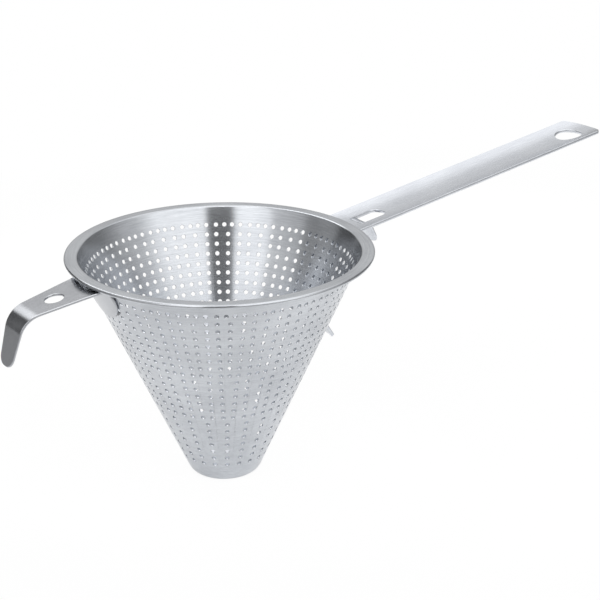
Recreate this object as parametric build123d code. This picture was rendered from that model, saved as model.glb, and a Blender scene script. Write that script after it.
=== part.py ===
from build123d import *
from build123d.topology import SkipClean
from math import atan2, cos, degrees, hypot, pi, radians, sin, sqrt, tan
import os

# Chinois strainer. Millimetres, +Z up, +X along the handle.
# The origin is the centre of the bowl's flat bottom, on its underside.

# Bowl: one drawn sheet. The wall's diameters are those of its outside.
rim_diameter = 180.0
wall_top_diameter = 166.6
wall_bottom_diameter = 39.6
bowl_height = 139.5
bowl_sheet = 0.8
bottom_corner_radius = 8.3
flange_bend_radius = 0.8
hem_height = 2.3
hem_return = 1.6

# Perforation: equal groups of holes round the wall, in rows that count from the rim down.
# A row's drop is measured along the wall, and its spread is the sideways step from hole to hole.
hole_diameter = 2.7
group_count = 23
first_group_angle = 82.65
first_row_drop = 12.1
row_pitch = 5.976
first_row_spreads = (2.4, 7.65)
second_row_spread = 7.4
spread_loss_per_row = 0.356
rows_of_three = 8
rows_of_two = 6
rows_of_one = 7
turn_of_two = -0.5
turn_of_one = -1.2
hole_edge_points = 8
plain_margin = 3.0

# Handle: one strap with a hollow top, bent down the wall and flared out again below.
handle_sheet = 2.0
handle_width = 32.6
handle_rise = 7.23
handle_hem_gap = 0.76
handle_hollow_at_end = 3.3
handle_hollow_at_slot = 2.4
hang_hole_reach = 193.0
hang_hole_diameter = 17.7
handle_end_radius = 20.0
handle_corner_radius = 2.5
leg_bend_radius = 12.0
leg_drop = 47.0
flare_bend_radius = 5.0
flare_slope = 57.0
flare_length = 17.5
flare_corner_radius = 1.5

# Slot in the handle, and the tongue that is punched and bent down out of it.
slot_reach = 11.0
slot_length = 21.4
slot_width = 11.8
tongue_bend_radius = 9.5
tongue_turn = 71.0
tongue_length = 22.0
tongue_corner_radius = 5.2

# Hook opposite the handle: one tapering strap.
hook_sheet = 1.6
hook_angle = 176.5
hook_slope = 10.4
hook_hem_gap = 1.0
hook_root_width = 30.0
hook_tip_width = 13.3
hook_length = 69.1
hook_flat_reach = 5.0
hook_hole_reach = 17.5
hook_hole_diameter = 11.0
hook_bend_reach = 31.9
hook_bend_radius = 15.5
hook_turn = 62.6
hook_tip_radius = 6.2
tab_bend_radius = 5.0
tab_side_drop = 10.8
tab_drop = 26.4

# Spot welds that hold both straps to the wall.
weld_diameter = 3.6
weld_depth_in_wall = 0.4
weld_depth_in_strap = 1.0
handle_weld_rows = (2.5, 5.5)
handle_weld_side = 9.8
hook_weld_row = 2.5
hook_weld_side = 10.8

# Fit and drawing values.
strap_clearance = 0.1
overrun = 5.0
bend_steps = 6

rim_radius = rim_diameter / 2
wall_top_radius = wall_top_diameter / 2
wall_bottom_radius = wall_bottom_diameter / 2
hole_radius = hole_diameter / 2
wall_slope = (wall_top_radius - wall_bottom_radius) / bowl_height
wall_lean = atan2(wall_top_radius - wall_bottom_radius, bowl_height)
wall_tilt = 90 - degrees(wall_lean)
wall_slant = wall_top_radius / sin(wall_lean)
apex_height = bowl_height - wall_top_radius / wall_slope
group_pitch = 360 / group_count
row_count = 1 + rows_of_three + rows_of_two + rows_of_one
wall_step = bowl_sheet / cos(wall_lean)


def wall_radius(height):
    """Radius of the wall's outside at a height."""
    return wall_bottom_radius + height * wall_slope


def row_slant(row):
    """Distance of a row from the wall's apex, along the outside. Rows count from 1."""
    return wall_slant - first_row_drop - row_pitch * (row - 1)


def row_spread(row):
    """Sideways step between the holes of a group. It shrinks down the wall."""
    return second_row_spread - spread_loss_per_row * (row - 2)


def turn_at(side, slant):
    """Angle round the bowl that a sideways distance takes up on the wall."""
    return degrees(side / (slant * sin(wall_lean)))


def row_turns(row):
    """Angles of one group's holes in a row, from the middle of the group."""
    slant = row_slant(row)
    if row == 1:
        return [sign * turn_at(side, slant) for side in first_row_spreads for sign in (-1, 1)]
    spread = turn_at(row_spread(row), slant)
    if row <= 1 + rows_of_three:
        return [-spread, 0, spread]
    if row <= 1 + rows_of_three + rows_of_two:
        return [turn_of_two - spread, turn_of_two + spread]
    return [turn_of_one]


def wall_frame(angle, slant):
    """A point on the wall's outside, with the outward normal, the way up the wall and the way round."""
    turn = radians(angle)
    radius = slant * sin(wall_lean)
    height = apex_height + slant * cos(wall_lean)
    point = Vector(radius * cos(turn), radius * sin(turn), height)
    normal = Vector(cos(wall_lean) * cos(turn), cos(wall_lean) * sin(turn), -sin(wall_lean))
    up = Vector(sin(wall_lean) * cos(turn), sin(wall_lean) * sin(turn), cos(wall_lean))
    around = Vector(-sin(turn), cos(turn), 0)
    return point, normal, up, around


def meet_wall(start, direction, depth):
    """Where a line meets the wall's surface that lies at a depth under the outside."""
    top = apex_height + depth / sin(wall_lean)
    slope = wall_slope**2
    rise = start.Z - top
    a = direction.X**2 + direction.Y**2 - slope * direction.Z**2
    b = start.X * direction.X + start.Y * direction.Y - slope * rise * direction.Z
    c = start.X**2 + start.Y**2 - slope * rise**2
    root = sqrt(b**2 - a * c)
    steps = [(-b + root) / a, (-b - root) / a]
    return start + direction * min(steps, key=lambda step: abs(step + depth))


def hole_edge(angle, slant, depth):
    """Closed edge of a hole drilled square to the wall, on the surface at a depth."""
    centre, normal, up, around = wall_frame(angle, slant)
    points = []
    for i in range(hole_edge_points):
        turn = 2 * pi * i / hole_edge_points
        start = centre + up * (hole_radius * cos(turn)) + around * (hole_radius * sin(turn))
        points.append(meet_wall(start, normal, depth))
    return Spline(points, periodic=True)


def wall_section(low, high):
    """Section of the plain wall between two heights."""
    outside = [(wall_radius(low), low), (wall_radius(high), high)]
    inside = [(wall_radius(high) - wall_step, high), (wall_radius(low) - wall_step, low)]
    return Plane.XZ * make_face(Polyline(*outside, *inside, close=True))


def perforated_ring(low, high):
    """The wall between two heights: one drilled sector, repeated round the bowl."""
    sector = revolve(wall_section(low, high), Axis.Z, group_pitch)
    cones = sector.faces().filter_by(GeomType.CONE).sort_by(SortBy.AREA)
    ends = sector.faces().filter_by(Plane.XY)
    edges = {0: [], bowl_sheet: []}
    hole_walls = []
    for row in range(1, row_count + 1):
        for turn in row_turns(row):
            angle = group_pitch / 2 + turn
            pair = [hole_edge(angle, row_slant(row), depth) for depth in edges]
            for depth, edge in zip(edges, pair):
                edges[depth].append(Wire([edge]))
            hole_walls.append(Face.make_surface_from_curves(*pair))
    inside = cones[0].make_holes(edges[bowl_sheet])
    outside = cones[-1].make_holes(edges[0])
    faces = [outside, inside, *ends, *hole_walls]
    turned = [Rot(0, 0, group_pitch * i) * face for i in range(group_count) for face in faces]
    return Solid(Shell(turned))


def bottom_cup(high):
    """Closed bottom, its round corner and the plain start of the wall, up to a height."""
    outer = [(0, 0), (wall_bottom_radius, 0), (wall_radius(high), high)]
    inner_bottom = wall_radius(bowl_sheet) - wall_step
    inner = [(wall_radius(high) - wall_step, high), (inner_bottom, bowl_sheet), (0, bowl_sheet)]
    face = make_face(Polyline(*outer, *inner, close=True))
    outer_corner = face.vertices().sort_by_distance((wall_bottom_radius, 0))[0]
    face = fillet(outer_corner, bottom_corner_radius)
    inner_corner = face.vertices().sort_by_distance((inner_bottom, bowl_sheet))[0]
    face = fillet(inner_corner, bottom_corner_radius - bowl_sheet)
    return revolve(Plane.XZ * face, Axis.Z)


def flange_and_hem(low):
    """Plain end of the wall from a height up, the flat flange and the hem rolled under its edge."""
    top = bowl_height
    under = top - bowl_sheet
    hem_radius = hem_height / 2
    roll_start = rim_radius - hem_radius
    roll_inside = hem_radius - bowl_sheet
    middle = top - hem_radius
    outside = Line((roll_start, top), (wall_radius(top) - wall_step, top))
    down = Line(outside @ 1, (wall_radius(low) - wall_step, low))
    across = Line(down @ 1, (wall_radius(low), low))
    up = Line(across @ 1, (wall_radius(under), under))
    out = Line(up @ 1, (roll_start, under))
    inner_roll = ThreePointArc(out @ 1, (roll_start + roll_inside, middle), (roll_start, middle - roll_inside))
    back = Line(inner_roll @ 1, (roll_start - hem_return, middle - roll_inside))
    lip = Line(back @ 1, (roll_start - hem_return, top - hem_height))
    forth = Line(lip @ 1, (roll_start, top - hem_height))
    outer_roll = ThreePointArc(forth @ 1, (rim_radius, middle), outside @ 0)
    face = make_face([outside, down, across, up, out, inner_roll, back, lip, forth, outer_roll])
    inner_corner = face.vertices().sort_by_distance((wall_radius(top) - wall_step, top))[0]
    face = fillet(inner_corner, flange_bend_radius + bowl_sheet)
    outer_corner = face.vertices().sort_by_distance((wall_radius(under), under))[0]
    face = fillet(outer_corner, flange_bend_radius)
    return revolve(Plane.XZ * face, Axis.Z)


def strainer_bowl():
    """The bowl. It is made with a gap between two groups on +X and then turned into place."""
    margin = hole_radius + plain_margin
    low = apex_height + (row_slant(row_count) - margin) * cos(wall_lean)
    high = apex_height + (row_slant(1) + margin) * cos(wall_lean)
    with SkipClean():
        bowl = bottom_cup(low).fuse(perforated_ring(low, high), flange_and_hem(high))
    return Rot(0, 0, first_group_angle - group_pitch / 2) * bowl


def along(tilt):
    """Direction in the XZ plane at an angle above +X."""
    return Vector(cos(radians(tilt)), 0, sin(radians(tilt)))


def face_normal(tilt):
    """Direction out of a strap's top face where the strap runs at a tilt."""
    return Vector(-sin(radians(tilt)), 0, cos(radians(tilt)))


def strap_section(point, tilt, width, hollow, sheet, spare=0.0):
    """Section of a strap, square to its run. Its top face passes through the point.

    The top is an arc whose middle lies deeper than its edges by the hollow, and the underside
    is concentric with it. A hollow of zero makes a flat strap. Spare widens both sides alike.
    """
    normal = face_normal(tilt)
    side = width / 2 + spare

    def at(across, up):
        return point + normal * up + Vector(0, across, 0)

    if hollow == 0:
        corners = [at(-side, 0), at(side, 0), at(side, -sheet), at(-side, -sheet)]
        return make_face(Polyline(*corners, close=True))
    radius = ((width / 2) ** 2 + hollow**2) / (2 * hollow)
    top = radius - sqrt(radius**2 - side**2)
    under = radius - sqrt((radius + sheet) ** 2 - side**2)
    upper = ThreePointArc(at(-side, top), at(0, 0), at(side, top))
    lower = ThreePointArc(at(side, under), at(0, -sheet), at(-side, under))
    return make_face([upper, Line(upper @ 1, lower @ 0), lower, Line(lower @ 1, upper @ 0)])


def bent(section, point, tilt, radius, turn):
    """Bend of one section from a tilt to a steeper one. The radius is that of the top face."""
    centre = point - face_normal(tilt) * radius
    return revolve(section, Axis(centre, (0, -1, 0)), turn)


def past_bend(point, tilt, radius, turn):
    """Where the top face's middle arrives after a bend."""
    return point + (face_normal(tilt + turn) - face_normal(tilt)) * radius


def wall_hollow(slant, width):
    """Hollow that lets a strap of this width lie on the wall."""
    radius = slant * tan(wall_lean) + strap_clearance
    return radius - sqrt(radius**2 - (width / 2) ** 2)


def strap_on_wall(slant):
    """Point of a strap's top face where it lies on the wall, in the XZ plane."""
    point, normal, up, around = wall_frame(0, slant)
    return point + normal * strap_clearance


def corner_on_wall(edge_point, tilt, hollow):
    """Where a strap's top face, below its edges by the hollow, would meet the strap on the wall."""
    start = edge_point - face_normal(tilt) * hollow
    wall = strap_on_wall(wall_slant)
    gap = wall - start
    run = along(tilt)
    up = along(wall_tilt)
    share = (run.X * gap.Z - run.Z * gap.X) / (run.Z * up.X - run.X * up.Z)
    return wall + up * share


def slant_of(point):
    """Distance from the wall's apex of a point of a strap that lies on the wall."""
    foot = point - wall_frame(0, wall_slant)[1] * strap_clearance
    return hypot(foot.X, foot.Z - apex_height)


def grip_plane():
    """Plane of the handle's edges, with its origin at the rim and X along the handle."""
    height = bowl_height - hem_height - handle_hem_gap
    origin = (rim_radius, 0, height)
    return Plane(origin=origin, x_dir=along(handle_rise), z_dir=face_normal(handle_rise))


def handle_outline():
    """Handle seen square to its edges: straight sides and a round end about the hanging hole."""
    length = hang_hole_reach + rim_radius
    bar = Pos(hang_hole_reach - length / 2, 0) * Rectangle(length, handle_width)
    band = Pos(hang_hole_reach, 0) * Rectangle(2 * handle_end_radius, handle_width)
    end = (Pos(hang_hole_reach, 0) * Circle(handle_end_radius)) & band
    outline = bar + end
    corner_reach = hang_hole_reach + sqrt(handle_end_radius**2 - (handle_width / 2) ** 2)
    corners = [v for v in outline.vertices() if abs(v.X - corner_reach) < handle_corner_radius]
    return fillet(corners, handle_corner_radius)


def handle_openings():
    """Slot and hanging hole, seen square to the handle's edges."""
    straight = slot_length - slot_width / 2
    slot = Pos(slot_reach + straight / 2, 0) * Rectangle(straight, slot_width)
    slot += Pos(slot_reach + straight, 0) * Circle(slot_width / 2)
    return slot + Pos(hang_hole_reach, 0) * Circle(hang_hole_diameter / 2)


def through(outline, plane):
    """A flat outline carried well past both sides of its plane."""
    return plane * extrude(outline, handle_width, both=True)


def tongue(plane):
    """Tongue bent down out of the slot's straight end, hollow like the handle there."""
    radius = ((handle_width / 2) ** 2 + handle_hollow_at_slot**2) / (2 * handle_hollow_at_slot)
    hollow = radius - sqrt(radius**2 - (slot_width / 2) ** 2)
    root = plane.origin + plane.x_dir * slot_reach - plane.z_dir * handle_hollow_at_slot
    tip_tilt = handle_rise - tongue_turn
    tip_start = past_bend(root, handle_rise, tongue_bend_radius, -tongue_turn)
    bend_length = radians(tongue_turn) * tongue_bend_radius
    tip_end = tip_start + along(tip_tilt) * (tongue_length - bend_length)
    start = strap_section(tip_start, tip_tilt, slot_width, hollow, handle_sheet)
    end = strap_section(tip_end, tip_tilt, slot_width, hollow, handle_sheet)
    straight = loft([start, end], ruled=True)
    corners = [edge for edge in straight.edges() if edge.length < slot_width / 2]
    corners = sorted(corners, key=lambda edge: (edge.center() - tip_end).length)[:2]
    straight = fillet(corners, tongue_corner_radius)
    bend = bent(start, tip_start, tip_tilt, tongue_bend_radius, tongue_turn)
    return straight + bend


def handle():
    """Grip, bend, leg down the wall, and flared foot, all one strap."""
    plane = grip_plane()
    leg_hollow = wall_hollow(wall_slant, handle_width)
    corner = corner_on_wall(plane.origin, handle_rise, leg_hollow)
    turn = wall_tilt - handle_rise
    corner_length = leg_bend_radius * tan(radians(turn) / 2)
    grip_start = corner + along(handle_rise) * corner_length
    leg_top = corner - along(wall_tilt) * corner_length
    leg_foot = strap_on_wall(wall_slant - leg_drop / cos(wall_lean))
    foot_hollow = wall_hollow(slant_of(leg_foot), handle_width)

    def grip_section(reach, hollow, spare):
        point = plane.origin + plane.x_dir * reach - plane.z_dir * hollow
        return strap_section(point, handle_rise, handle_width, hollow, handle_sheet, spare)

    start_reach = (grip_start - plane.origin).dot(plane.x_dir)
    end_reach = hang_hole_reach + handle_end_radius + overrun
    hollow_share = (end_reach - slot_reach) / (hang_hole_reach - slot_reach)
    end_hollow = handle_hollow_at_slot + (handle_hollow_at_end - handle_hollow_at_slot) * hollow_share
    near = [grip_section(start_reach, leg_hollow, overrun)]
    middle = [grip_section(slot_reach, handle_hollow_at_slot, overrun)]
    far = [grip_section(end_reach, end_hollow, overrun)]
    blank = loft(near + middle, ruled=True) + loft(middle + far, ruled=True)
    grip = blank & through(handle_outline() - handle_openings(), plane)

    leg_section = strap_section(leg_top, wall_tilt, handle_width, leg_hollow, handle_sheet)
    grip_end = strap_section(grip_start, handle_rise, handle_width, leg_hollow, handle_sheet)
    bend = bent(grip_end, grip_start, handle_rise, leg_bend_radius, turn)
    foot_section = strap_section(leg_foot, wall_tilt, handle_width, foot_hollow, handle_sheet)
    leg = loft([leg_section, foot_section], ruled=True)

    flare_tilt = 180 - flare_slope
    flare_turn = flare_tilt - wall_tilt
    lower_bend = bent(foot_section, leg_foot, wall_tilt, flare_bend_radius, flare_turn)
    flare_start = past_bend(leg_foot, wall_tilt, flare_bend_radius, flare_turn)
    flare_end = flare_start - along(flare_tilt) * flare_length
    flare = loft(
        [
            strap_section(flare_start, flare_tilt, handle_width, foot_hollow, handle_sheet),
            strap_section(flare_end, flare_tilt, handle_width, foot_hollow, handle_sheet),
        ],
        ruled=True,
    )
    corners = [edge for edge in flare.edges() if edge.length < handle_width / 2]
    corners = sorted(corners, key=lambda edge: (edge.center() - flare_end).length)[:2]
    flare = fillet(corners, flare_corner_radius)
    return grip + bend + leg + lower_bend + flare + tongue(plane)


def hook_width(reach):
    """Width of the tapering hook at a distance from the rim along the strap."""
    return hook_root_width + (hook_tip_width - hook_root_width) * reach / hook_length


def hook():
    """Tab on the wall, flat arm with its hole, and the bent end. Made on +X, then turned."""
    edge_point = Vector(rim_radius, 0, bowl_height - hem_height - hook_hem_gap)
    arm_tilt = -hook_slope
    run = along(arm_tilt)
    turn = wall_tilt - arm_tilt
    root_width = hook_width(-tab_bend_radius)
    tab_hollow = wall_hollow(wall_slant, root_width)
    corner = corner_on_wall(edge_point, arm_tilt, tab_hollow)
    corner_length = tab_bend_radius * tan(radians(turn) / 2)
    arm_start = corner + run * corner_length
    tab_top = corner - along(wall_tilt) * corner_length

    start = strap_section(arm_start, arm_tilt, root_width, tab_hollow, hook_sheet)
    tab_bend = bent(start, arm_start, arm_tilt, tab_bend_radius, turn)

    def flat_section(reach):
        return strap_section(edge_point + run * reach, arm_tilt, hook_width(reach), 0, hook_sheet)

    arm = loft([start, flat_section(hook_flat_reach)], ruled=True)
    arm += loft([flat_section(hook_flat_reach), flat_section(hook_bend_reach)], ruled=True)
    arm_plane = Plane(origin=edge_point, x_dir=run, z_dir=face_normal(arm_tilt))
    hole = Pos(hook_hole_reach, 0) * Circle(hook_hole_diameter / 2)
    arm -= through(hole, arm_plane)

    bend_start = edge_point + run * hook_bend_reach
    bend_length = radians(hook_turn) * hook_bend_radius
    sections = []
    for i in range(bend_steps + 1):
        part = i / bend_steps
        point = past_bend(bend_start, arm_tilt, hook_bend_radius, -hook_turn * part)
        width = hook_width(hook_bend_reach + bend_length * part)
        sections.append(strap_section(point, arm_tilt - hook_turn * part, width, 0, hook_sheet))
    outer_bend = loft(sections)
    tip_tilt = arm_tilt - hook_turn
    tip_length = hook_length - hook_bend_reach - bend_length
    tip_start = past_bend(bend_start, arm_tilt, hook_bend_radius, -hook_turn)
    tip_end = tip_start + along(tip_tilt) * tip_length
    tip = loft(
        [sections[-1], strap_section(tip_end, tip_tilt, hook_tip_width, 0, hook_sheet)],
        ruled=True,
    )
    corners = [edge for edge in tip.edges() if edge.length < hook_tip_width / 2]
    corners = sorted(corners, key=lambda edge: (edge.center() - tip_end).length)[:2]
    tip = fillet(corners, hook_tip_radius)
    whole = tab(tab_top, root_width) + tab_bend + arm + outer_bend + tip
    return Rot(0, 0, hook_angle) * whole


def tab(top, root_width):
    """The hook's end that lies on the wall. The strap's taper goes on, down to a round end."""
    low_slant = wall_slant - tab_drop
    low = strap_on_wall(low_slant)
    high_slant = slant_of(top)
    length = high_slant - low_slant
    taper = (hook_root_width - hook_tip_width) / hook_length
    low_width = root_width + taper * length
    top_section = strap_section(
        top, wall_tilt, root_width, wall_hollow(wall_slant, root_width), hook_sheet, overrun
    )
    low_section = strap_section(
        low, wall_tilt, low_width, wall_hollow(low_slant, low_width), hook_sheet, overrun
    )
    blank = loft([top_section, low_section], ruled=True)
    side_length = high_slant - (wall_slant - tab_side_drop)
    side = (root_width + taper * side_length) / 2
    sides = Polyline((-side_length, side), (0, root_width / 2), (0, -root_width / 2), (-side_length, -side))
    round_end = ThreePointArc((-side_length, -side), (-length, 0), (-side_length, side))
    outline = make_face([sides, round_end])
    plane = Plane(origin=top, x_dir=along(wall_tilt), z_dir=face_normal(wall_tilt))
    return blank & through(outline, plane)


def spot_weld(angle, slant):
    """One weld nugget, square to the wall, from inside the wall into the strap."""
    point, normal, up, around = wall_frame(angle, slant)
    length = weld_depth_in_wall + strap_clearance + weld_depth_in_strap
    base = Plane(origin=point - normal * weld_depth_in_wall, z_dir=normal)
    return base * extrude(Circle(weld_diameter / 2), length)


def free_place(wanted, row):
    """The angle nearest to the wanted one where a weld lies clear between two columns of holes."""
    half = turn_at(row_spread(row), row_slant(row)) / 2
    places = []
    for group in range(group_count):
        middle = first_group_angle + group_pitch * group
        places += [middle - half, middle + half, middle + group_pitch / 2]
    return min(places, key=lambda angle: abs((angle - wanted + 180) % 360 - 180))


def weld_pair(middle, side, row):
    """Two welds of a row, about as far to each side of a strap's middle."""
    turn = turn_at(side, row_slant(row))
    return [spot_weld(free_place(middle + sign * turn, row), row_slant(row)) for sign in (-1, 1)]


bowl = strainer_bowl()
grip = handle()
rest_hook = hook()

handle_welds = []
for row in handle_weld_rows:
    handle_welds += weld_pair(0, handle_weld_side, row)
hook_welds = weld_pair(hook_angle, hook_weld_side, hook_weld_row)

bowl = bowl.cut(*handle_welds, *hook_welds)
grip = grip.cut(*handle_welds)
rest_hook = rest_hook.cut(*hook_welds)

nodes = {
    "strainer_bowl": bowl,
    "handle": grip,
    "rest_hook": rest_hook,
    "handle_spot_welds": Compound(handle_welds),
    "hook_spot_welds": Compound(hook_welds),
}

os.makedirs("parts", exist_ok=True)
for name, solid in nodes.items():
    export_step(solid, f"parts/{name}.step", write_pcurves=False)
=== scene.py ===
from math import atan2, cos, degrees, hypot, pi, radians, sin, sqrt, tan

import bpy
import numpy as np
from mathutils import Matrix, Vector


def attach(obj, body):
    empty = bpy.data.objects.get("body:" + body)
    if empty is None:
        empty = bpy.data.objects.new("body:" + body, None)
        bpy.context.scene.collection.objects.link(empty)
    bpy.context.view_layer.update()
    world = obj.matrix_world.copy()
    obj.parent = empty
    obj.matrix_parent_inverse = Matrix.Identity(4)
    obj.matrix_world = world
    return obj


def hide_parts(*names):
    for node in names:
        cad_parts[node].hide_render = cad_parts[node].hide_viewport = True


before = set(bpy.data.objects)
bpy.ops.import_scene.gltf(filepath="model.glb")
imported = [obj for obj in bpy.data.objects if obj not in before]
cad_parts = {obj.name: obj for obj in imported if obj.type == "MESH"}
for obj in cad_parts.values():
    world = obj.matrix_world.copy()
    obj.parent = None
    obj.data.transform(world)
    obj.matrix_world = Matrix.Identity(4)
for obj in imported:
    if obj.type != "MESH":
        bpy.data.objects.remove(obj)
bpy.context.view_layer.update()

# Chinois strainer: a drawn and perforated steel bowl with two straps spot-welded to it.
# Each piece is modelled in millimetres, and its mesh is scaled to metres when it is finished.
# Angles are in degrees.
MM = 0.001

# The bowl, with the sizes of the part's source. Heights are above its flat bottom.
rim_radius = 90.0
wall_top_radius = 83.3
wall_bottom_radius = 19.8
bowl_height = 139.5
bowl_sheet = 0.8
bottom_corner_radius = 8.3
flange_bend_radius = 0.8
hem_height = 2.3
hem_return = 1.6

# Its holes stand in equal groups round the wall, in rows that are counted from the top.
# A spread is the distance from the middle of the group to a hole beside it.
hole_radius = 1.35
group_count = 23
first_group_angle = 82.65
first_row_drop = 12.1
row_pitch = 5.976
first_row_spreads = (2.4, 7.65)
second_row_spread = 7.4
spread_loss_per_row = 0.356
rows_of_three = 8
rows_of_two = 6
rows_of_one = 7
turn_of_two = -0.5
turn_of_one = -1.2

# The handle. Reaches are measured along it from the rim's edge.
strap_sheet = 2.0
strap_clearance = 0.1
handle_edge = 0.8
handle_width = 32.6
handle_rise = 7.23
handle_hem_gap = 0.76
handle_hollow_at_end = 3.3
handle_hollow_at_slot = 2.4
hang_hole_reach = 193.0
hang_hole_radius = 8.85
handle_end_radius = 20.0
handle_corner_radius = 2.5
leg_bend_radius = 12.0
leg_drop = 47.0
flare_bend_radius = 5.0
flare_slope = 57.0
flare_length = 17.5
flare_corner_radius = 1.5
slot_reach = 11.0
slot_length = 21.4
slot_width = 11.8
tongue_bend_radius = 9.5
tongue_turn = 71.0
tongue_length = 22.0
tongue_corner_radius = 5.2

# The rest hook. Its drops are measured down the wall.
hook_sheet = 1.6
hook_edge = 0.4
hook_angle = 176.5
hook_slope = 10.4
hook_hem_gap = 1.0
hook_root_width = 30.0
hook_tip_width = 13.3
hook_length = 69.1
hook_flat_reach = 5.0
hook_hole_reach = 17.5
hook_hole_radius = 5.5
hook_bend_reach = 31.9
hook_bend_radius = 15.5
hook_turn = 62.6
hook_tip_radius = 6.2
tab_bend_radius = 5.0
tab_side_drop = 10.8
tab_drop = 26.4

# How finely the bowl is modelled: corners and steps of its round shapes, and edges of its sheet.
hole_corners = 16
hole_edge = 0.12
plain_margin = 3.0
columns_per_group = 6
flange_inner_steps = 7
flange_under_steps = 5
hem_outer_steps = 14
hem_inner_steps = 6
bottom_corner_steps = 12
punch_length = 4 * bowl_sheet

# The same of the straps. Rows of edges stand close together where a strap is bent.
handle_end_steps = 24
handle_corner_steps = 6
flare_corner_steps = 5
slot_end_steps = 24
hang_hole_corners = 72
tongue_corner_steps = 12
hook_tip_steps = 14
tab_round_steps = 24
hook_hole_corners = 64
bend_row = 0.8
handle_row = 4.0
hook_row = 3.0
tongue_row = 1.0
handle_strips = 14
tongue_strips = 6
hook_strips = 12

# The profile of a deburred edge, where 0.5 is round and 0.25 a flat chamfer, and its steps.
edge_profile = 0.3
edge_steps = 3
# Angles between faces above which an edge stays sharp.
strap_crease = 50
bowl_crease = 34

# Distances below which two points are one, and how near its border a face belongs to it.
same_point = 0.001
same_seam = 0.004
border_width = 0.01
border_turn = 1e-5
# The share of a face's normal that stands across the sheet, by which its kind is told.
on_sheet = 0.99
beside_hole = 0.9
on_border = 0.5
on_cone = 0.98
# Step of the slopes that turn a blank's normals, and the least hollow that a strap is given.
slope_step = 0.001
least_hollow = 0.001

wall_lean = atan2(wall_top_radius - wall_bottom_radius, bowl_height)
wall_tilt = 90 - degrees(wall_lean)
wall_slant = wall_top_radius / sin(wall_lean)
apex_height = bowl_height - wall_slant * cos(wall_lean)
group_pitch = 360 / group_count
fan_angle = radians(group_pitch * sin(wall_lean))
row_count = 1 + rows_of_three + rows_of_two + rows_of_one
slant_margin = hole_radius + plain_margin


# Selecting, cutting and bending.

def choose(*pieces):
    """Selects these pieces and nothing else, and makes the first one active."""
    bpy.context.view_layer.update()
    bpy.ops.object.select_all(action="DESELECT")
    for piece in pieces:
        piece.select_set(True)
    bpy.context.view_layer.objects.active = pieces[0]


def edit(piece, part="VERT"):
    """Opens a piece for editing with all of it selected."""
    choose(piece)
    bpy.ops.object.mode_set(mode="EDIT")
    bpy.ops.mesh.select_mode(type=part)
    bpy.ops.mesh.select_all(action="SELECT")


def done():
    bpy.ops.object.mode_set(mode="OBJECT")


def points_of(mesh):
    """The places of a mesh's points, one to a row."""
    flat = np.empty(len(mesh.vertices) * 3, np.float32)
    mesh.vertices.foreach_get("co", flat)
    return flat.reshape(-1, 3).astype(float)


def move_points(mesh, places):
    mesh.vertices.foreach_set("co", places.astype(np.float32).ravel())
    mesh.update()


def another(piece):
    """A copy of a piece, with a mesh of its own."""
    copy = piece.copy()
    copy.data = piece.data.copy()
    bpy.context.collection.objects.link(copy)
    return copy


def joined(pieces):
    """Makes one piece of several, with their places in its mesh."""
    choose(*pieces)
    bpy.ops.object.join()
    bpy.ops.object.transform_apply(location=True, rotation=True, scale=True)
    return pieces[0]


def outline(name, points, fill="NGON"):
    """A ring of points, from a circle with as many corners. A point may have a height."""
    bpy.ops.mesh.primitive_circle_add(vertices=len(points), fill_type=fill)
    piece = bpy.context.active_object
    piece.name = piece.data.name = name
    flat = [c for point in points for c in (*point, 0)[:3]]
    piece.data.vertices.foreach_set("co", flat)
    return piece


def apply(piece, kind, **settings):
    """Adds a modifier to a piece and applies it."""
    choose(piece)
    modifier = piece.modifiers.new(kind.title(), kind)
    for key, value in settings.items():
        setattr(modifier, key, value)
    bpy.ops.object.modifier_apply(modifier=modifier.name)


def thicken(piece, height):
    """Turns a flat outline into a slab that reaches to a height above or below it."""
    edit(piece)
    bpy.ops.mesh.extrude_region_move(TRANSFORM_OT_translate={"value": (0, 0, height)})
    bpy.ops.mesh.select_all(action="SELECT")
    bpy.ops.mesh.normals_make_consistent(inside=False)
    done()


def drill(piece, cutter):
    """Cuts a piece with another one, which is used up."""
    apply(piece, "BOOLEAN", operation="DIFFERENCE", solver="EXACT", object=cutter)
    bpy.data.objects.remove(cutter)


def punch_out(blank, name, points, sheet):
    """Cuts an opening into a blank, with a cutter that stands out of it on both sides."""
    cutter = outline(name, points)
    cutter.data.transform(Matrix.Translation((0, 0, sheet)))
    thicken(cutter, -3 * sheet)
    drill(blank, cutter)


def arc(centre, radius, start, end, steps):
    """Points on an arc in the drawing plane, from one angle to another."""
    angles = np.radians(np.linspace(start, end, steps + 1))
    return [(centre[0] + radius * cos(a), centre[1] + radius * sin(a)) for a in angles]


def ring(centre, radius, corners):
    """Points of a round hole's edge."""
    return arc(centre, radius, 0, 360 - 360 / corners, corners - 1)


def rounded(before, corner, after, radius, steps):
    """Points of the arc that rounds a corner between two straight runs."""
    before, corner, after = (np.array(p, float) for p in (before, corner, after))
    a = (before - corner) / np.linalg.norm(before - corner)
    b = (after - corner) / np.linalg.norm(after - corner)
    half = np.arccos(np.clip(a @ b, -1, 1)) / 2
    middle = (a + b) / np.linalg.norm(a + b)
    centre = corner + middle * radius / sin(half)
    first = corner + a * radius / tan(half) - centre
    last = corner + b * radius / tan(half) - centre
    sweep = pi / 2 - half
    points = []
    for share in np.linspace(0, 1, steps + 1):
        arm = first * sin((1 - share) * sweep) + last * sin(share * sweep)
        points.append(tuple(centre + arm * radius / np.linalg.norm(arm)))
    return points


def round_edges(piece, width):
    """Rounds the sharp edges of a flat blank, as deburring leaves them."""
    apply(piece, "BEVEL", width=width, segments=edge_steps, profile=edge_profile,
          limit_method="ANGLE", angle_limit=radians(strap_crease))


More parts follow.
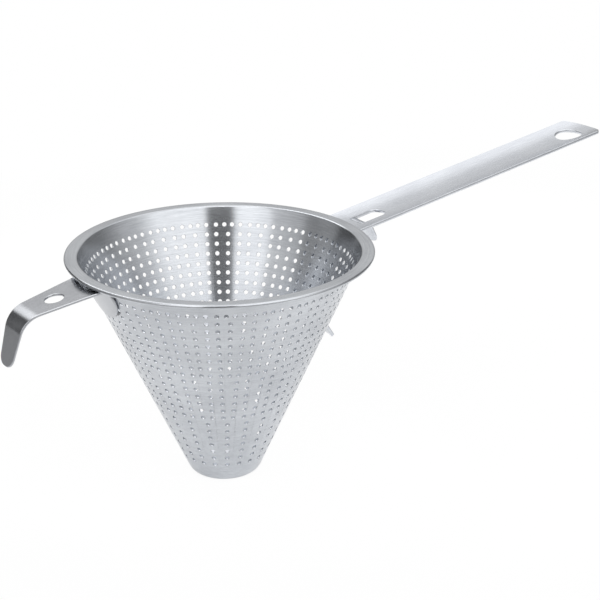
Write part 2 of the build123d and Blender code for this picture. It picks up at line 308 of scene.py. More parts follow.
def cut_across(piece, places, direction):
    """Adds rows of edges to a flat blank where it is to be bent."""
    edit(piece)
    for place in places:
        bpy.ops.mesh.select_all(action="SELECT")
        bpy.ops.mesh.bisect(plane_co=Vector(direction) * place, plane_no=direction)
    done()


def press(piece, form):
    """Gives a flat blank its shape. The smooth normals of the flat blank are carried along."""
    mesh = piece.data
    choose(piece)
    bpy.ops.object.shade_smooth_by_angle(angle=radians(strap_crease))
    flat = points_of(mesh)
    normals = np.empty(len(mesh.loops) * 3, np.float32)
    mesh.corner_normals.foreach_get("vector", normals)
    normals = normals.reshape(-1, 3).astype(float)
    corners = np.empty(len(mesh.loops), np.int32)
    mesh.loops.foreach_get("vertex_index", corners)
    level = np.zeros(len(flat))
    for face in mesh.polygons:
        if abs(face.normal.z) > on_sheet:
            level[list(face.vertices)] = 1 if face.normal.z > 0 else -1
    on_face = level[corners] != 0
    normals[on_face] = 0
    normals[on_face, 2] = level[corners][on_face]
    steps = np.eye(3) * slope_step
    slopes = [form(flat + step) - form(flat - step) for step in steps]
    sides = [np.cross(slopes[(i + 1) % 3], slopes[(i + 2) % 3])[corners] for i in range(3)]
    turned = sum(normals[:, i : i + 1] * sides[i] for i in range(3))
    turned /= np.linalg.norm(turned, axis=1, keepdims=True)
    move_points(mesh, form(flat) * MM)
    mesh.normals_split_custom_set(turned.tolist())


# The bowl.

def wall_radius(height):
    return wall_bottom_radius + height * tan(wall_lean)


def wall_point(slant, depth=0.0):
    """Radius and height of a point of the wall, by its distance from the apex and its depth."""
    radius = slant * sin(wall_lean) - depth * cos(wall_lean)
    return radius, apex_height + slant * cos(wall_lean) + depth * sin(wall_lean)


def row_slant(row):
    return wall_slant - first_row_drop - row_pitch * (row - 1)


slant_low = row_slant(row_count) - slant_margin
slant_high = row_slant(1) + slant_margin


def turn_at(side, slant):
    """Angle round the bowl that a sideways distance takes up on the wall."""
    return degrees(side / (slant * sin(wall_lean)))


def row_turns(row):
    """Angles of one group's holes in a row, from the middle of the group."""
    slant = row_slant(row)
    if row == 1:
        return [sign * turn_at(side, slant) for side in first_row_spreads for sign in (-1, 1)]
    spread = turn_at(second_row_spread - spread_loss_per_row * (row - 2), slant)
    if row <= 1 + rows_of_three:
        return [-spread, 0, spread]
    if row <= 1 + rows_of_three + rows_of_two:
        return [turn_of_two - spread, turn_of_two + spread]
    return [turn_of_one]


def hole_places():
    """Places of one group's holes on the unrolled wall."""
    places = []
    for row in range(1, row_count + 1):
        for turn in row_turns(row):
            angle = radians(group_pitch / 2 + turn) * sin(wall_lean)
            places.append((row_slant(row) * cos(angle), row_slant(row) * sin(angle), 0))
    return places


def cone(flat):
    """The unrolled wall, a fan round its apex, rolled up. Up in the fan is into the bowl."""
    slant = np.hypot(flat[:, 0], flat[:, 1])
    turn = np.arctan2(flat[:, 1], flat[:, 0]) / sin(wall_lean)
    radius = slant * sin(wall_lean) - flat[:, 2] * cos(wall_lean)
    height = apex_height + slant * cos(wall_lean) + flat[:, 2] * sin(wall_lean)
    return np.stack([radius * np.cos(turn), radius * np.sin(turn), height], 1)


def at_border(face):
    """Whether the middle of a face lies on a border of the unrolled share of the wall."""
    slant = hypot(face.center.x, face.center.y)
    turn = atan2(face.center.y, face.center.x)
    between_ends = slant_low + border_width < slant < slant_high - border_width
    between_sides = border_turn < turn < fan_angle - border_turn
    return not (between_ends and between_sides)


def ease_holes(sector):
    """Breaks the sharp edges of the holes on both sides of the sheet."""
    mesh = sector.data
    edit(sector, "EDGE")
    bpy.ops.mesh.select_all(action="DESELECT")
    done()
    sides = {}
    for face in mesh.polygons:
        for key in face.edge_keys:
            sides.setdefault(key, []).append(face)
    for edge in mesh.edges:
        beside = [face for face in sides[edge.key] if abs(face.normal.z) <= beside_hole]
        edge.select = len(sides[edge.key]) == 2 and len(beside) == 1 and not at_border(beside[0])
    bpy.ops.object.mode_set(mode="EDIT")
    bpy.ops.mesh.bevel(offset=hole_edge, segments=1, affect="EDGES")
    done()


def open_borders(sector):
    """Takes away the faces where the sector meets the next one, the rim and the bottom."""
    edit(sector, "FACE")
    bpy.ops.mesh.select_all(action="DESELECT")
    done()
    for face in sector.data.polygons:
        face.select = abs(face.normal.z) < on_border and at_border(face)
    bpy.ops.object.mode_set(mode="EDIT")
    bpy.ops.mesh.delete(type="FACE")
    done()


def wall_sector():
    """One group of holes in its share of the unrolled wall, rolled up into its place."""
    ends = [(slant_low, 0), (slant_high, 0)]
    sector = outline("bowl_wall", [*ends, *reversed(ends)], fill="NOTHING")
    edit(sector)
    bpy.ops.mesh.remove_doubles(threshold=hole_edge)
    bpy.ops.mesh.spin(steps=columns_per_group, angle=fan_angle, center=(0, 0, 0), axis=(0, 0, -1))
    done()
    thicken(sector, bowl_sheet)
    bpy.ops.mesh.primitive_cylinder_add(vertices=hole_corners, radius=hole_radius, depth=punch_length)
    first_punch = bpy.context.active_object
    places = hole_places()
    punches = [first_punch] + [another(first_punch) for place in places[1:]]
    for punch, place in zip(punches, places):
        punch.location = place
    drill(sector, joined(punches))
    ease_holes(sector)
    open_borders(sector)
    move_points(sector.data, cone(points_of(sector.data)))
    return sector


def spun(name, profile):
    """A profile, drawn as radius and height, spun once round the bowl's axis."""
    loop = [(radius, 0, height) for radius, height in profile]
    piece = outline(name, [*loop, *reversed(loop)], fill="NOTHING")
    edit(piece)
    bpy.ops.mesh.remove_doubles(threshold=same_point)
    steps = columns_per_group * group_count
    bpy.ops.mesh.spin(steps=steps, angle=2 * pi, center=(0, 0, 0), axis=(0, 0, 1))
    bpy.ops.mesh.select_all(action="SELECT")
    bpy.ops.mesh.remove_doubles(threshold=same_point)
    done()
    return piece


def make_rim():
    """The flange round the mouth, with the closed hem that is rolled under its edge."""
    under = bowl_height - bowl_sheet
    hem_radius = hem_height / 2
    inside = hem_radius - bowl_sheet
    roll = (rim_radius - hem_radius, bowl_height - hem_radius)
    lip = roll[0] - hem_return
    inner, outer = wall_point(slant_high, bowl_sheet), wall_point(slant_high)
    top_corner = (wall_radius(bowl_height) - bowl_sheet / cos(wall_lean), bowl_height)
    under_corner = (wall_radius(under), under)
    return spun("rim", [
        inner,
        *rounded(inner, top_corner, (roll[0], bowl_height), flange_bend_radius + bowl_sheet,
                 flange_inner_steps),
        *arc(roll, hem_radius, 90, -90, hem_outer_steps),
        (lip, bowl_height - hem_height),
        (lip, roll[1] - inside),
        *arc(roll, inside, -90, 90, hem_inner_steps),
        *rounded((roll[0], under), under_corner, outer, flange_bend_radius, flange_under_steps),
        outer,
    ])


def make_bottom():
    """The closed bottom: the sheet's inner and outer face, each from the axis to the wall."""
    inner, outer = wall_point(slant_low, bowl_sheet), wall_point(slant_low)
    centre = (0, bowl_sheet)
    inner_corner = (wall_radius(bowl_sheet) - bowl_sheet / cos(wall_lean), bowl_sheet)
    inner_radius = bottom_corner_radius - bowl_sheet
    outer_corner = (wall_bottom_radius, 0)
    inside = spun("inner", [
        centre,
        *rounded(centre, inner_corner, inner, inner_radius, bottom_corner_steps),
        inner,
    ])
    outside = spun("outer", [
        outer,
        *rounded(outer, outer_corner, (0, 0), bottom_corner_radius, bottom_corner_steps),
        (0, 0),
    ])
    return inside, outside


def smooth_wall(bowl):
    """Shades the bowl round, and gives the faces of the wall the normals of the true cone."""
    choose(bowl)
    bpy.ops.object.shade_smooth_by_angle(angle=radians(bowl_crease))
    mesh = bowl.data
    places = points_of(mesh)
    normals = np.zeros((len(mesh.loops), 3))
    low, high = wall_point(slant_low)[1] - bowl_sheet, wall_point(slant_high)[1] + bowl_sheet
    for face in mesh.polygons:
        if not low < face.center.z < high:
            continue
        turn = atan2(face.center.y, face.center.x)
        out = Vector((cos(wall_lean) * cos(turn), cos(wall_lean) * sin(turn), -sin(wall_lean)))
        facing = face.normal.dot(out)
        if abs(facing) < on_cone:
            continue
        sign = 1 if facing > 0 else -1
        for i in face.loop_indices:
            x, y, z = places[mesh.loops[i].vertex_index]
            reach = hypot(x, y) / cos(wall_lean) * sign
            normals[i] = (x / reach, y / reach, -sin(wall_lean) * sign)
    mesh.normals_split_custom_set(normals.tolist())


def make_bowl():
    rim = make_rim()
    inside, outside = make_bottom()
    sectors = [wall_sector()]
    for i in range(1, group_count):
        sector = another(sectors[0])
        sector.data.transform(Matrix.Rotation(radians(group_pitch * i), 4, "Z"))
        sectors.append(sector)
    bowl = joined([rim, inside, outside, *sectors])
    bowl.name = bowl.data.name = "strainer_bowl_formed"
    edit(bowl)
    bpy.ops.mesh.remove_doubles(threshold=same_seam)
    bpy.ops.mesh.normals_make_consistent(inside=False)
    done()
    bowl.data.transform(Matrix.Rotation(radians(first_group_angle - group_pitch / 2), 4, "Z"))
    smooth_wall(bowl)
    bowl.data.transform(Matrix.Scale(MM, 4))
    return bowl


# The straps. A blank lies along X from its lower end, with its upper face at height zero.

def along(tilt):
    return np.array([cos(radians(tilt)), sin(radians(tilt))])


def normal(tilt):
    return np.array([-sin(radians(tilt)), cos(radians(tilt))])


def under_hem(gap):
    """Radius and height of the place below the rim's edge from which a strap is measured."""
    return np.array([rim_radius, bowl_height - hem_height - gap])


def wall_hollow(slant, width):
    """Hollow that lets a strap of this width lie on the wall."""
    radius = slant * tan(wall_lean) + strap_clearance
    return radius - np.sqrt(radius**2 - (width / 2) ** 2)


def on_wall(slant):
    """Radius and height of a strap's inner face where it lies on the wall."""
    return np.array(wall_point(slant, -strap_clearance))


def corner_on_wall(edge, tilt, hollow):
    """Where the middle of a strap's top face meets the line of the strap on the wall."""
    start = edge - normal(tilt) * hollow
    a, b = along(tilt), along(wall_tilt)
    gap = on_wall(wall_slant) - start
    return on_wall(wall_slant) + b * (a[0] * gap[1] - a[1] * gap[0]) / (a[1] * b[0] - a[0] * b[1])


def centre_line(run, start, tilt, stretches):
    """Places and tilts along a strap. A stretch of its line is a length and a turn."""
    places = np.zeros((len(run), 2))
    tilts = np.zeros(len(run))
    begin, here, heading = 0.0, np.array(start, float), tilt
    for number, (length, turn) in enumerate(stretches):
        first, last = number == 0, number == len(stretches) - 1
        inside = ((run >= begin) | first) & ((run < begin + length) | last)
        part = run[inside] - begin
        angle = np.radians(heading + turn * part / length)
        if turn:
            radius = length / radians(turn)
            from_centre = np.stack([np.sin(angle), -np.cos(angle)], 1)
            places[inside] = here + normal(heading) * radius + from_centre * radius
            here = here + (normal(heading) - normal(heading + turn)) * radius
        else:
            places[inside] = here + along(heading) * part[:, None]
            here = here + along(heading) * length
        tilts[inside] = angle
        heading += turn
        begin += length
    return places, tilts


def strap(flat, line, hollow, width, drop=0.0):
    """Bends a flat strap along its line and hollows it across."""
    places, tilts = line
    hollow = np.maximum(hollow, least_hollow)
    radius = ((width / 2) ** 2 + hollow**2) / (2 * hollow)
    rise = radius - np.sqrt((radius - flat[:, 2]) ** 2 - flat[:, 1] ** 2) - drop
    x = places[:, 0] - np.sin(tilts) * rise
    z = places[:, 1] + np.cos(tilts) * rise
    return np.stack([x, flat[:, 1], z], 1)


def rows_along(bends, coarse, total):
    """Places for rows of edges: close together in the bends and wider in the straight runs."""
    places = []
    here = 0.0
    while here < total:
        near = any(a - coarse < here < b + bend_row for a, b in bends)
        here += bend_row if near else coarse
        places.append(here)
    return places[:-1]


def strips_across(half, strips):
    """Places for the edges between equal strips along a blank."""
    return np.linspace(-half, half, strips + 1)[1:-1]


def make_handle():
    """The grip with its hanging hole and slot, the bend, the leg on the wall and the flared foot."""
    hollow = wall_hollow(wall_slant, handle_width)
    origin = under_hem(handle_hem_gap)
    corner = corner_on_wall(origin, handle_rise, hollow)
    turn = wall_tilt - handle_rise
    corner_length = leg_bend_radius * tan(radians(turn) / 2)
    grip_start = corner + along(handle_rise) * corner_length
    leg_top = corner - along(wall_tilt) * corner_length
    foot_slant = wall_slant - leg_drop / cos(wall_lean)
    foot_hollow = wall_hollow(foot_slant, handle_width)
    leg_foot = on_wall(foot_slant)
    flare_tilt = 180 - flare_slope
    flare_turn = flare_tilt - wall_tilt
    flare_start = leg_foot + (normal(flare_tilt) - normal(wall_tilt)) * flare_bend_radius
    flare_end = flare_start - along(flare_tilt) * flare_length

    # Where each part of the strap starts on the blank.
    leg = np.linalg.norm(leg_top - leg_foot)
    lower_bend = radians(flare_turn) * flare_bend_radius
    upper_bend = radians(turn) * leg_bend_radius
    leg_from = flare_length + lower_bend
    bend_from = leg_from + leg
    grip_from = bend_from + upper_bend
    rim_at = grip_from - (grip_start - origin) @ along(handle_rise)
    slot_at = rim_at + slot_reach
    hole_at = rim_at + hang_hole_reach

    # The blank's outline. A few steps of the round end give way to the corners beside it.
    half = handle_width / 2
    end_reach = sqrt(handle_end_radius**2 - half**2)
    end_side = hole_at + end_reach
    end_angle = degrees(atan2(half, end_reach))
    end = arc((hole_at, 0), handle_end_radius, -end_angle, end_angle, handle_end_steps)
    given = 4
    lower_corner = rounded((0, -half), (end_side, -half), end[given + 1], handle_corner_radius,
                           handle_corner_steps)
    upper_corner = rounded(end[-given - 2], (end_side, half), (0, half), handle_corner_radius,
                           handle_corner_steps)
    blank = outline("handle_formed", [
        *rounded((0, half), (0, -half), (leg, -half), flare_corner_radius, flare_corner_steps),
        *lower_corner,
        *end[given:-given],
        *upper_corner,
        *rounded((leg, half), (0, half), (0, -half), flare_corner_radius, flare_corner_steps),
    ])
    thicken(blank, -strap_sheet)
    punch_out(blank, "hang", ring((hole_at, 0), hang_hole_radius, hang_hole_corners), strap_sheet)
    slot_side = slot_width / 2
    slot_end = (slot_at + slot_length - slot_side, 0)
    slot_points = [
        (slot_at, slot_side),
        (slot_at, -slot_side),
        *arc(slot_end, slot_side, -90, 90, slot_end_steps),
    ]
    punch_out(blank, "slot", slot_points, strap_sheet)
    round_edges(blank, handle_edge)
    total = end_side + handle_end_radius
    bends = [(flare_length, leg_from), (bend_from, grip_from + slot_reach)]
    cut_across(blank, rows_along(bends, handle_row, total), (1, 0, 0))
    cut_across(blank, strips_across(half, handle_strips), (0, 1, 0))

    stretches = [(flare_length, 0), (lower_bend, -flare_turn), (leg, 0), (upper_bend, -turn),
                 (total, 0)]
    stations = [leg_from, bend_from, grip_from, slot_at, hole_at]
    hollows = [foot_hollow, hollow, hollow, handle_hollow_at_slot, handle_hollow_at_end]
    slope = (handle_hollow_at_end - handle_hollow_at_slot) / (hole_at - slot_at)

    def form(flat):
        run = flat[:, 0]
        line = centre_line(run, flare_end, flare_tilt, stretches)
        here = np.interp(run, stations, hollows) + np.maximum(run - hole_at, 0) * slope
        drop = np.where(run > grip_from, here - hollow, 0)
        return strap(flat, line, here, handle_width, drop)

    press(blank, form)
    return blank


def make_tongue():
    """The tongue that is punched out of the slot and bent down."""
    side = slot_width / 2
    end, shape = tongue_length, (tongue_corner_radius, tongue_corner_steps)
    tongue = outline("tongue", [
        (0, side),
        (0, -side),
        *rounded((0, -side), (end, -side), (end, 0), *shape),
        *rounded((end, 0), (end, side), (0, side), *shape),
    ])
    thicken(tongue, -strap_sheet)
    round_edges(tongue, handle_edge)
    cut_across(tongue, np.arange(tongue_row, tongue_length, tongue_row), (1, 0, 0))
    cut_across(tongue, strips_across(side, tongue_strips), (0, 1, 0))
    bend = radians(tongue_turn) * tongue_bend_radius
    hollow_here = normal(handle_rise) * handle_hollow_at_slot
    root = under_hem(handle_hem_gap) + along(handle_rise) * slot_reach - hollow_here
    stretches = [(bend, -tongue_turn), (tongue_length, 0)]

    def form(flat):
        line = centre_line(flat[:, 0], root, handle_rise, stretches)
        return strap(flat, line, handle_hollow_at_slot, handle_width)

    press(tongue, form)
    return tongue


def make_hook():
    """The rounded tab on the wall, the flat arm with its hole, and the end that is bent down."""
    taper = (hook_root_width - hook_tip_width) / hook_length
    root_width = hook_root_width + taper * tab_bend_radius
    hollow = wall_hollow(wall_slant, root_width)
    origin = under_hem(hook_hem_gap)
    corner = corner_on_wall(origin, -hook_slope, hollow)
    turn = wall_tilt + hook_slope
    corner_length = tab_bend_radius * tan(radians(turn) / 2)
    arm_start = corner + along(-hook_slope) * corner_length
    tab_top = corner - along(wall_tilt) * corner_length
    low_slant = wall_slant - tab_drop
    low = on_wall(low_slant)

    # Where each part of the strap starts on the blank.
    tab = np.linalg.norm(tab_top - low)
    bend = radians(turn) * tab_bend_radius
    arm_at = tab + bend
    edge_at = arm_at - (arm_start - origin) @ along(-hook_slope)
    flat_at = edge_at + hook_flat_reach
    bend_at = edge_at + hook_bend_reach
    outer_bend = radians(hook_turn) * (hook_bend_radius - hollow)
    tip_at = edge_at + hook_length - radians(hook_turn) * hollow

    # The blank's outline: half of it, the same mirrored, and the tab's round end.
    side_at = tab_drop - tab_side_drop
    side = (root_width + taper * (tab - side_at)) / 2
    root = root_width / 2
    flat_half = (hook_root_width - taper * hook_flat_reach) / 2
    tip = hook_tip_width / 2
    lower = [
        (side_at, -side),
        (tab, -root),
        (arm_at, -root),
        (flat_at, -flat_half),
        *rounded((flat_at, -flat_half), (tip_at, -tip), (tip_at, 0), hook_tip_radius,
                 hook_tip_steps),
    ]
    upper = [(x, -y) for x, y in reversed(lower)]
    back = (side**2 + side_at**2) / (2 * side_at)
    swing = degrees(atan2(side, back - side_at))
    round_end = arc((back, 0), back, 180 - swing, 180 + swing, tab_round_steps)[1:-1]
    blank = outline("rest_hook_formed", [*lower, *upper, *round_end])
    thicken(blank, -hook_sheet)
    hole = ring((edge_at + hook_hole_reach, 0), hook_hole_radius, hook_hole_corners)
    punch_out(blank, "hole", hole, hook_sheet)
    round_edges(blank, hook_edge)
    bends = [(tab, flat_at), (bend_at, bend_at + outer_bend)]
    cut_across(blank, rows_along(bends, hook_row, tip_at), (1, 0, 0))
    cut_across(blank, strips_across(root, hook_strips), (0, 1, 0))

    stretches = [(tab, 0), (bend, -turn), (bend_at - arm_at, 0), (outer_bend, -hook_turn),
                 (hook_length, 0)]
    angle = radians(hook_angle)

    def form(flat):
        run = flat[:, 0]
        line = centre_line(run, low, wall_tilt, stretches)
        width = np.interp(run, [0, tab], [root_width + taper * tab, root_width])
        on_tab = wall_hollow(low_slant + run, width)
        on_arm = np.interp(run, [arm_at, flat_at], [hollow, 0])
        here = np.where(run < tab, on_tab, on_arm)
        drop = np.where(run > arm_at, here - hollow, 0)
        made = strap(flat, line, here, width, drop)
        x = made[:, 0] * cos(angle) - made[:, 1] * sin(angle)
        y = made[:, 0] * sin(angle) + made[:, 1] * cos(angle)
        return np.stack([x, y, made[:, 2]], 1)

    press(blank, form)
    return blank


# Materials.

# Patterns of the steel. Marks are broader scratches, and clouds are areas that the belt met less.
mark_scale = 0.25
cloud_size = 30.0
scratch_detail = 3.0
scratch_roughness = 0.6
broad_detail = 2.0
# Sum of the three patterns where the steel is dull and where it is bright.
tint_limits = (1.1, 1.9)
# Scratches change the roughness by a tenth, between these two values of their pattern.
scratch_limits = (0.35, 0.65)
roughness_change = 0.1
bump_strength = 0.1
# The edges are painted lighter, a painted highlight. Handling polishes them, so they are also
# smoother than the sheet.
polish_and_highlight_width = 0.5
polish_and_highlight_limits = (0.97, 0.8)
polish_and_highlight_samples = 4
worn_share = 0.7
painted_highlight_colour = "#E6E7E9"
# An anisotropic highlight turned by a quarter stands across scratches that run round the axis.
quarter_turn = 0.25
white = (1, 1, 1, 1)


def linear(hex_colour):
    """An sRGB hex colour as the linear values that a shader takes."""
    parts = [int(hex_colour[i : i + 2], 16) / 255 for i in (1, 3, 5)]
    return (*(p / 12.92 if p <= 0.04045 else ((p + 0.055) / 1.055) ** 2.4 for p in parts), 1.0)


def add(tree, kind, settings=None, out=0, **inputs):
    """Adds a node with its settings, and gives one of its outputs, or the node for out=None.

    An input is a value or the output that feeds it. One without a name of its own is called i
    and its number.
    """
    node = tree.nodes.new("ShaderNode" + kind)
    for key, value in (settings or {}).items():
        setattr(node, key, value)
    for key, value in inputs.items():
        socket = node.inputs[int(key[1:]) if key[1:].isdigit() else key.replace("_", " ")]
        if isinstance(value, bpy.types.NodeSocket):
            tree.links.new(value, socket)
        else:
            socket.default_value = value
    return node if out is None else node.outputs[out]


def new_tree(owner):
    """The empty node tree of a material or a world."""
    owner.use_nodes = True
    owner.node_tree.nodes.clear()
    return owner.node_tree


def steel(name, bright, dull, roughness, grain, stretch, axis, depth=0.006, polish_and_highlight=0.5):
    """Stainless steel: thin parallel brushing, a faint cloudiness, and polished edges that carry a
    painted highlight.

    grain is the size of the brushing along X, Y and Z in millimetres. For steel that was brushed
    while it turned, axis is Z, and the first size is the length of a scratch round the axis.
    A real scratch is some 0.02 mm wide. It is drawn coarser, as otherwise it wouldn't show.
    """
    material = bpy.data.materials.new(name)
    tree = new_tree(material)
    place = add(tree, "TexCoord", out="Object")
    grain_place = place
    if axis == "Z":
        x, y, z = add(tree, "SeparateXYZ", out=None, i0=place).outputs
        turn = add(tree, "Math", {"operation": "ARCTAN2"}, i0=y, i1=x)
        round_way = add(tree, "Math", {"operation": "MULTIPLY"}, i0=turn, i1=wall_top_radius * MM)
        level = add(tree, "CombineXYZ", i0=x, i1=y)
        reach = add(tree, "VectorMath", {"operation": "LENGTH"}, "Value", i0=level)
        grain_place = add(tree, "CombineXYZ", i0=round_way, i1=reach, i2=z)
    lines = add(tree, "Mapping", i0=grain_place, Scale=[1 / (size * MM) for size in grain])
    scratches = add(tree, "TexNoise", out="Fac", Vector=lines, Scale=1.0, Detail=scratch_detail,
                    Roughness=scratch_roughness)
    marks = add(tree, "TexNoise", out="Fac", Vector=lines, Scale=mark_scale, Detail=broad_detail)
    clouds = add(tree, "TexNoise", out="Fac", Vector=place, Scale=1 / (cloud_size * MM),
                 Detail=broad_detail)
    lines_sum = add(tree, "Math", {"operation": "ADD"}, i0=scratches, i1=marks)
    pattern = add(tree, "Math", {"operation": "ADD"}, i0=lines_sum, i1=clouds)
    tint = add(tree, "MapRange", Value=pattern, From_Min=tint_limits[0], From_Max=tint_limits[1])
    tone = add(tree, "Mix", {"data_type": "RGBA"}, 2, Factor=tint, i6=linear(dull),
               i7=linear(bright))

    # Painted highlight: the edges are mixed towards a lighter colour. The same edge mask also lowers
    # their roughness, as polishing does.
    rounded_normal = add(tree, "Bevel", {"samples": polish_and_highlight_samples}, Radius=polish_and_highlight_width * MM)
    true_normal = add(tree, "NewGeometry", out="Normal")
    agreement = add(tree, "VectorMath", {"operation": "DOT_PRODUCT"}, "Value",
                    i0=rounded_normal, i1=true_normal)
    bend = add(tree, "MapRange", Value=agreement, From_Min=polish_and_highlight_limits[0], From_Max=polish_and_highlight_limits[1])
    edge = add(tree, "Math", {"operation": "MULTIPLY"}, i0=bend, i1=polish_and_highlight)
    colour_with_painted_highlight = add(tree, "Mix", {"data_type": "RGBA"}, 2, Factor=edge, i6=tone,
               i7=linear(painted_highlight_colour))

    matt = add(tree, "MapRange", Value=scratches, From_Min=scratch_limits[0],
               From_Max=scratch_limits[1], To_Min=roughness * (1 - roughness_change),
               To_Max=roughness * (1 + roughness_change))
    kept = add(tree, "MapRange", Value=edge, To_Min=1.0, To_Max=worn_share)
    smoothed = add(tree, "Math", {"operation": "MULTIPLY"}, i0=matt, i1=kept)
    bump = add(tree, "Bump", Height=scratches, Strength=bump_strength, Distance=depth * MM)
    tangent = add(tree, "Tangent", {"direction_type": "RADIAL", "axis": axis})
    shader = add(tree, "BsdfPrincipled", Base_Color=colour_with_painted_highlight, Metallic=1.0, Roughness=smoothed,
                 Normal=bump, Tangent=tangent, Anisotropic=stretch,
                 Anisotropic_Rotation=quarter_turn if axis == "Z" else 0.0)
    add(tree, "OutputMaterial", out=None, Surface=shader)
    return material


def dress(piece, material):
    piece.data.materials.clear()
    piece.data.materials.append(material)


# The bowl was brushed while it turned: its highlights stand across the scratches, like fans.
bowl_steel = steel("turned_stainless_steel", "#D1D4D8", "#B5B8BD", 0.21, (4.0, 0.15, 0.15),
                   0.85, "Z")
# The straps were brushed lengthwise with a fine belt, so they shine softly along the hollow.
handle_steel = steel("satin_stainless_steel", "#DCDFE4", "#CDD0D6", 0.25, (14.0, 0.3, 0.3),
                     0.5, "X", 0.0015)
# The hook has the same finish, painted a little greyer than the handle: painted shade, so that it
# looks darker.
hook_steel = steel("satin_stainless_steel_with_painted_shade", "#BFC1C5", "#B1B3B7", 0.22,
                   (14.0, 0.3, 0.3), 0.4, "X", 0.0015)
# The nuggets were molten: dull, even and without brushing.
weld_steel = steel("fused_stainless_steel", "#B9BABC", "#A5A6A8", 0.45, (0.8, 0.8, 0.8),
                   0.0, "X", 0.02, 0.0)

bowl = make_bowl()
handle = make_handle()
tongue = make_tongue()
hook = make_hook()

for piece, node, material, slot in (
    (bowl, "strainer_bowl", bowl_steel, "bowl_steel"),
    (handle, "handle", handle_steel, "handle_steel"),
    (tongue, "handle", handle_steel, "handle_steel"),
    (hook, "rest_hook", hook_steel, "hook_steel"),
):
    dress(piece, material)
    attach(piece, "root")
    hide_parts(node)
tongue.name = "handle_tongue_formed"

for node in ("handle_spot_welds", "hook_spot_welds"):
    for material_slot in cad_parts[node].material_slots:
        material_slot.material = weld_steel

# Floor, light and camera.

# The sheet of paper, in metres. A pool of light is painted on it beside the strainer, and beyond the
# pool the paper is painted dark.
paper_size = 6
paper_drop = 0.0002
pool_centre = (0.2, 0.12, 0)
pool_radius = 0.33
paper_colour = "#F4F4F4"
painted_shade_colour = "#A0A0A0"
# Painted light: the paper glows at the steel, though it is no lamp, more of it close to the base.
paper_glow = 0.04
base_glow = 0.3
base_radius = 0.16
# Share of plain white in what the camera sees of the paper. The rest keeps the shadow.
white_share = 0.93
white_from = 0.5

# The camera looks along this turn from +X.
view_turn = 55.5
# The studio round the strainer: a turn from the line of sight, to the left, and a level.
soft_boxes = [
    (-180, 0.10), (-171, 0.10), (-166, 1.05), (-125, 1.05), (-100, 0.60), (-60, 0.22),
    (-42, 0.20), (-30, 0.52), (28, 0.52), (40, 0.07), (58, 0.08), (68, 0.30), (95, 0.28),
    (104, 0.5), (128, 0.64), (135, 1.1), (163, 1.1), (169, 0.10), (180, 0.10),
]
# Height of the lower edge of the boxes overhead, as the sine of its angle, by the same turn.
box_heights = [
    (-180, 0.67), (-70, 0.67), (-50, 0.57), (18, 0.57), (26, 0.49), (46, 0.42), (54, 0.75),
    (110, 0.75), (125, 0.67), (180, 0.67),
]
# Level of the boxes overhead by the same turn.
box_levels = [
    (-180, 1.9), (-125, 1.9), (-95, 1.3), (10, 1.3), (26, 2.8), (46, 2.8), (54, 0.9),
    (115, 0.9), (135, 1.9), (180, 1.9),
]
box_fade = 0.16
# Level of the soft boxes, the share of it that is left at the floor, and where all of it is met.
light_level = 1.4
floor_share = 0.4
full_height = 0.28
# Straight overhead, between these two heights, the level turns into one for all sides.
top_heights = (0.96, 0.985)
top_level = 1.25

camera_place = (-0.574151, -0.835395, 0.496656)
camera_turn = (68.99238, 0.52293, -37.31324)
camera_lens = 111.19


def seen_directly(tree):
    """1 for what the camera sees, straight or through an opening, and 0 for what lights the steel."""
    path = add(tree, "LightPath", out=None).outputs
    return add(tree, "Math", {"operation": "MAXIMUM"}, i0=path["Is Camera Ray"],
               i1=path["Is Transmission Ray"])


def white_paper():
    """Paper with a painted pool of light and a painted glow for the steel, painted dark far from the
    strainer, and white for the camera.
    """
    paper = bpy.data.materials.new("white_paper")
    tree = new_tree(paper)
    place = add(tree, "TexCoord", out="Object")
    # Painted pool of light: the paper is light round the pool's centre and painted dark beyond it,
    # and it glows most at the base.
    from_pool = add(tree, "VectorMath", {"operation": "DISTANCE"}, "Value", i0=place,
                    i1=pool_centre)
    far = add(tree, "MapRange", Value=from_pool, From_Min=pool_radius, From_Max=2 * pool_radius)
    colour = add(tree, "Mix", {"data_type": "RGBA"}, 2, Factor=far, i6=linear(paper_colour),
                 i7=linear(painted_shade_colour))
    diffuse = add(tree, "BsdfDiffuse", Color=colour)
    from_base = add(tree, "VectorMath", {"operation": "LENGTH"}, "Value", i0=place)
    at_base = add(tree, "MapRange", Value=from_base, From_Max=base_radius, To_Min=base_glow,
                  To_Max=0.0)
    in_pool = add(tree, "MapRange", Value=far, To_Min=paper_glow, To_Max=0.0)
    strength = add(tree, "Math", {"operation": "ADD"}, i0=in_pool, i1=at_base)
    glow = add(tree, "Emission", Strength=strength)
    lit = add(tree, "AddShader", i0=diffuse, i1=glow)
    plain = add(tree, "Emission", Strength=1.0)
    whiter = add(tree, "MapRange", Value=far, From_Max=white_from, To_Min=white_share)
    share = add(tree, "Math", {"operation": "MULTIPLY"}, i0=seen_directly(tree), i1=whiter)
    shown = add(tree, "MixShader", i0=share, i1=lit, i2=plain)
    add(tree, "OutputMaterial", out=None, Surface=shown)
    return paper


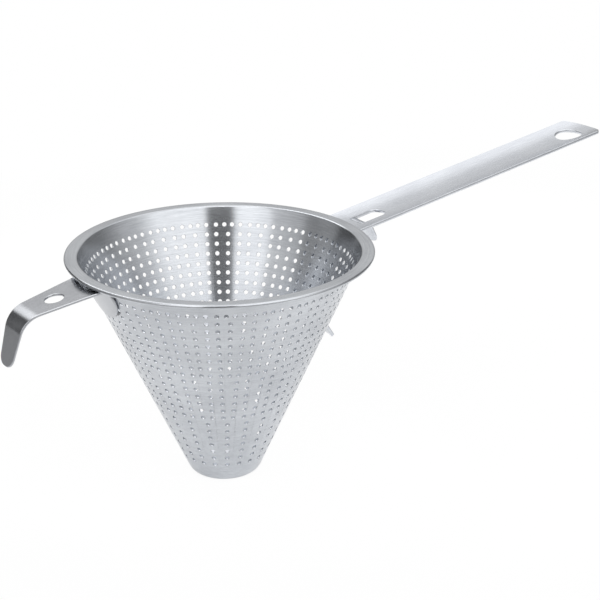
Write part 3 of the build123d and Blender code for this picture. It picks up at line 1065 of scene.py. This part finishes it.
def studio():
    """Soft boxes round the strainer and overhead, and plain white behind it for the camera."""
    world = bpy.data.worlds.new("studio")
    tree = new_tree(world)
    direction = add(tree, "TexCoord", out="Generated")
    ahead = add(tree, "VectorRotate", {"rotation_type": "Z_AXIS"}, Vector=direction,
                Angle=-radians(view_turn))
    x, y, z = add(tree, "SeparateXYZ", out=None, i0=ahead).outputs
    turn = add(tree, "Math", {"operation": "ARCTAN2"}, i0=y, i1=x)
    share = add(tree, "MapRange", Value=turn, From_Min=-pi, From_Max=pi)
    round_levels = []
    for stops in (soft_boxes, box_heights, box_levels):
        node = add(tree, "ValToRGB", out=None, i0=share)
        node.color_ramp.interpolation = "EASE"
        dots = node.color_ramp.elements
        while len(dots) < len(stops):
            dots.new(0.5)
        for dot, (angle, level) in zip(dots, stops):
            dot.position = 0.5 + angle / 360
        for dot, (angle, level) in zip(dots, stops):
            dot.color = (level, level, level, 1)
        round_levels.append(node.outputs[0])
    box_level, box_height, overhead_level = round_levels
    belt = add(tree, "Math", {"operation": "MULTIPLY"}, i0=box_level, i1=light_level)
    low = add(tree, "MapRange", Value=z, From_Max=full_height, To_Min=floor_share)
    lower = add(tree, "Math", {"operation": "MULTIPLY"}, i0=belt, i1=low)
    faded = add(tree, "Math", {"operation": "ADD"}, i0=box_height, i1=box_fade)
    high = add(tree, "MapRange", Value=z, From_Min=box_height, From_Max=faded)
    upper = add(tree, "MapRange", Value=z, From_Min=top_heights[0], From_Max=top_heights[1],
                To_Min=overhead_level, To_Max=top_level)
    level = add(tree, "Mix", Factor=high, i2=lower, i3=upper)
    room = add(tree, "Background", Color=white, Strength=level)
    plain = add(tree, "Background", Color=white, Strength=1.0)
    shown = add(tree, "MixShader", i0=seen_directly(tree), i1=room, i2=plain)
    add(tree, "OutputWorld", out=None, Surface=shown)
    return world


bpy.ops.mesh.primitive_plane_add(size=paper_size, location=(0, 0, -paper_drop))
floor = bpy.context.active_object
floor.name = "floor"
floor.data.materials.append(white_paper())
bpy.context.scene.world = studio()

camera = bpy.data.objects.new("camera", bpy.data.cameras.new("camera"))
bpy.context.scene.collection.objects.link(camera)
camera.location = camera_place
camera.rotation_euler = [radians(a) for a in camera_turn]
camera.data.lens = camera_lens
bpy.context.scene.camera = camera
bpy.context.scene.view_settings.view_transform = "Standard"
